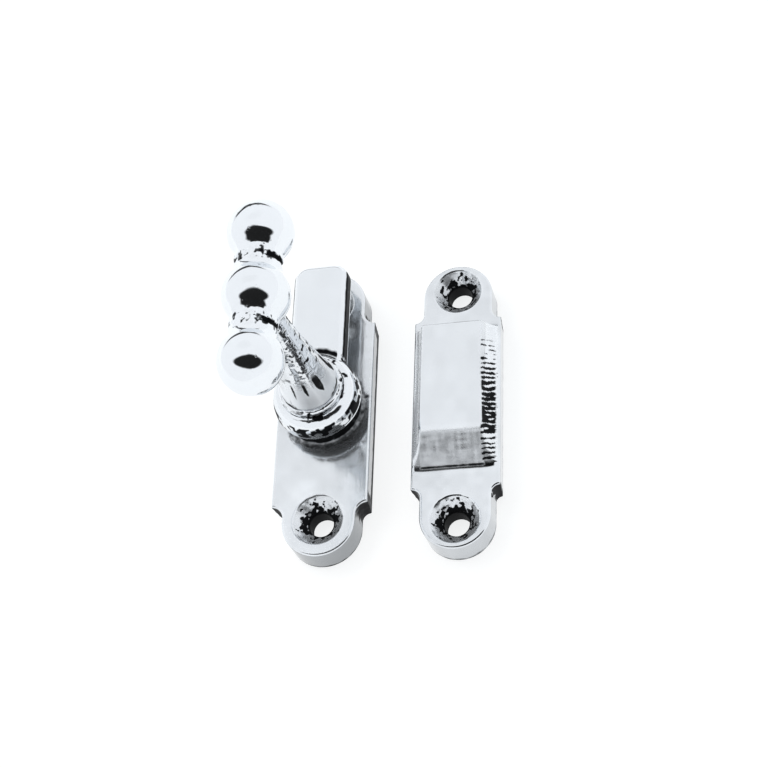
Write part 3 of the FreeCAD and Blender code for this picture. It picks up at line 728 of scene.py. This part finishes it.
dress(turn, chrome("chrome_turn_plate", grain=(2600, 260, 2600), lines=0.5, painted_wall_shade=0.5, seed=0.11))
dress(keeper, chrome("chrome_keeper", grain=(260, 2600, 2600), lines=0.5, painted_wall_shade=0.2, seed=0.23))
dress(tongue, chrome("chrome_tongue", grain=(2600, 260, 2600), lines=0.4, seed=0.31))
dress(collar, chrome("chrome_collar", grain=(900, 900, 900), lines=0.3, pits=0.8, seed=0.41, base_rough=0.09))
dress(stem, chrome("chrome_stem", grain=(1800, 1800, 160), lines=0.6, pits=0.7, seed=0.53))
dress(bar, chrome("chrome_ball_bar", grain=(900, 900, 900), lines=0.2, pits=0.4, seed=0.61, base_rough=0.05))

for node, mat in (("spindle", steel("turned_steel", (0.62, 0.62, 0.62), 0.28, 700)),
                  ("back_washer", steel("washer_steel", (0.58, 0.58, 0.58), 0.34, 900)),
                  ("spring_washer", steel("spring_steel_dark", (0.36, 0.36, 0.38), 0.36, 900))):
    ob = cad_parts[node]
    if ob.material_slots:
        for s in ob.material_slots:
            s.material = mat
    else:
        ob.data.materials.append(mat)

# ------------------------------------------------------------------ floor, light, camera

floor_mesh = bpy.data.meshes.new("floor")
S = 1.5
floor_mesh.from_pydata([(-S, -S, 0), (S, -S, 0), (S, S, 0), (-S, S, 0)], [], [(0, 1, 2, 3)])
floor = bpy.data.objects.new("floor", floor_mesh)
bpy.context.scene.collection.objects.link(floor)
floor.location = (0.01, 0.0, -0.00002)
fm, fnt, fp = nodes_of("pale_floor")
ftc = fnt.nodes.new("ShaderNodeTexCoord").outputs["Object"]
link(fnt, ramp(fnt, tex_noise(fnt, ftc, 30.0, 2.0), [(0.0, (0.17, 0.172, 0.175)), (1.0, (0.19, 0.19, 0.19))]), fp.inputs["Base Color"])
fp.inputs["Roughness"].default_value = 0.9
link(fnt, ramp(fnt, tex_noise(fnt, ftc, 20.0, 1.0), [(0.0, (0.97, 0.99, 1.0)), (1.0, (1.0, 1.0, 1.0))]), fp.inputs["Emission Color"])
fp.inputs["Emission Strength"].default_value = 0.86
floor.data.materials.append(fm)

R = Matrix(((0.970073754346552, 0.03388571834452109, -0.24043433452870502),
            (0.0826236670093368, 0.8850549546994525, 0.4580950303287302),
            (0.22832047822724025, -0.4642515323122002, 0.8557688203994456)))
TV = Vector((-9.307624630852654, -6.9524238615628455, -310.37154229922515)) * 0.001
cam_data = bpy.data.cameras.new("camera")
cam_data.sensor_width = 36.0
cam_data.lens = 1719.607850985961 * 36.0 / 768.0
cam_data.clip_start = 0.01
cam_data.clip_end = 10.0
cam = bpy.data.objects.new("camera", cam_data)
bpy.context.scene.collection.objects.link(cam)
Rt = R.transposed()
cam.matrix_world = Matrix.Translation(-(Rt @ TV)) @ Rt.to_4x4()
bpy.context.scene.camera = cam

# Studio: a white tent all round, with the dark opening the pictures are taken through,
# a greyer panel overhead at the back and a dark gap low behind.
scene = bpy.context.scene
world = bpy.data.worlds.new("studio")
scene.world = world
world.use_nodes = True
wn = world.node_tree
for n in list(wn.nodes):
    wn.nodes.remove(n)
wout = wn.nodes.new("ShaderNodeOutputWorld")
bg = wn.nodes.new("ShaderNodeBackground")
wn.links.new(bg.outputs[0], wout.inputs["Surface"])
wdir = wn.nodes.new("ShaderNodeTexCoord").outputs["Generated"]


def dot(vec):
    n = wn.nodes.new("ShaderNodeVectorMath")
    n.operation = "DOT_PRODUCT"
    n.inputs[1].default_value = vec
    wn.links.new(wdir, n.inputs[0])
    return n.outputs["Value"]


def patch(centre, right, half_w, half_h, soft, lopsided=0.0, lift=0.0):
    """1 inside an elliptical patch of sky about a direction, 0 outside, with a soft edge."""
    c = Vector(centre).normalized()
    r = Vector(right)
    r = (r - c * r.dot(c)).normalized()
    u = c.cross(r)
    dc, dr, du = dot(c), dot(r), dot(u)
    # angle offsets through atan2 keep the patch true far from its centre
    ar = math_node(wn, "ARCTAN2", dr, dc)
    au = math_node(wn, "ARCTAN2", du, dc)
    ar = math_node(wn, "ADD", ar, -lopsided)
    au = math_node(wn, "ADD", au, -lift)
    e1 = math_node(wn, "DIVIDE", ar, half_w)
    e2 = math_node(wn, "DIVIDE", au, half_h)
    d = math_node(wn, "SQRT", math_node(wn, "ADD", math_node(wn, "MULTIPLY", e1, e1), math_node(wn, "MULTIPLY", e2, e2)), 0.0)
    m = wn.nodes.new("ShaderNodeMapRange")
    m.interpolation_type = "SMOOTHSTEP"
    m.inputs["From Min"].default_value = 1.0 - soft
    m.inputs["From Max"].default_value = 1.0 + soft
    m.inputs["To Min"].default_value = 1.0
    m.inputs["To Max"].default_value = 0.0
    wn.links.new(d, m.inputs["Value"])
    return m.outputs["Result"]


def darken(level, mask, amount):
    k = math_node(wn, "MULTIPLY", mask, amount)
    k = math_node(wn, "SUBTRACT", 1.0, k)
    return math_node(wn, "MULTIPLY", level, k)


BACK = (0.22832047822724025, -0.4642515323122002, 0.8557688203994456)   # towards the camera
RIGHT = (0.970073754346552, 0.03388571834452109, -0.24043433452870502)
level = math_node(wn, "MULTIPLY", 1.03, 1.0)
level = darken(level, patch(BACK, RIGHT, math.radians(47), math.radians(24), 0.12, math.radians(-3), math.radians(-1)), 0.99)
level = darken(level, patch((-0.13, 0.49, 0.85), (1, 0, 0), math.radians(20), math.radians(15), 0.5), 0.04)
level = darken(level, patch((-0.33, 0.93, 0.10), (1, 0, 0), math.radians(34), math.radians(5), 0.3), 0.95)
comb = wn.nodes.new("ShaderNodeCombineColor")
wn.links.new(math_node(wn, "MULTIPLY", level, 0.985), comb.inputs[0])
wn.links.new(math_node(wn, "MULTIPLY", level, 0.995), comb.inputs[1])
wn.links.new(math_node(wn, "MULTIPLY", level, 1.01), comb.inputs[2])
wn.links.new(comb.outputs[0], bg.inputs["Color"])
bg.inputs["Strength"].default_value = 1.0

lamp_data = bpy.data.lights.new("softbox", "AREA")
lamp_data.shape = "RECTANGLE"
lamp_data.size = 0.5
lamp_data.size_y = 0.35
lamp_data.energy = 2.2
lamp = bpy.data.objects.new("softbox", lamp_data)
scene.collection.objects.link(lamp)
lamp.location = (-0.35, 0.25, 0.55)
lamp.visible_glossy = False
lamp.rotation_euler = (Vector((0.01, 0.0, 0.01)) - lamp.location).to_track_quat("-Z", "Y").to_euler()

scene.view_settings.view_transform = "Standard"
scene.view_settings.look = "None"
scene.view_settings.exposure = 0.0
scene.view_settings.gamma = 0.84

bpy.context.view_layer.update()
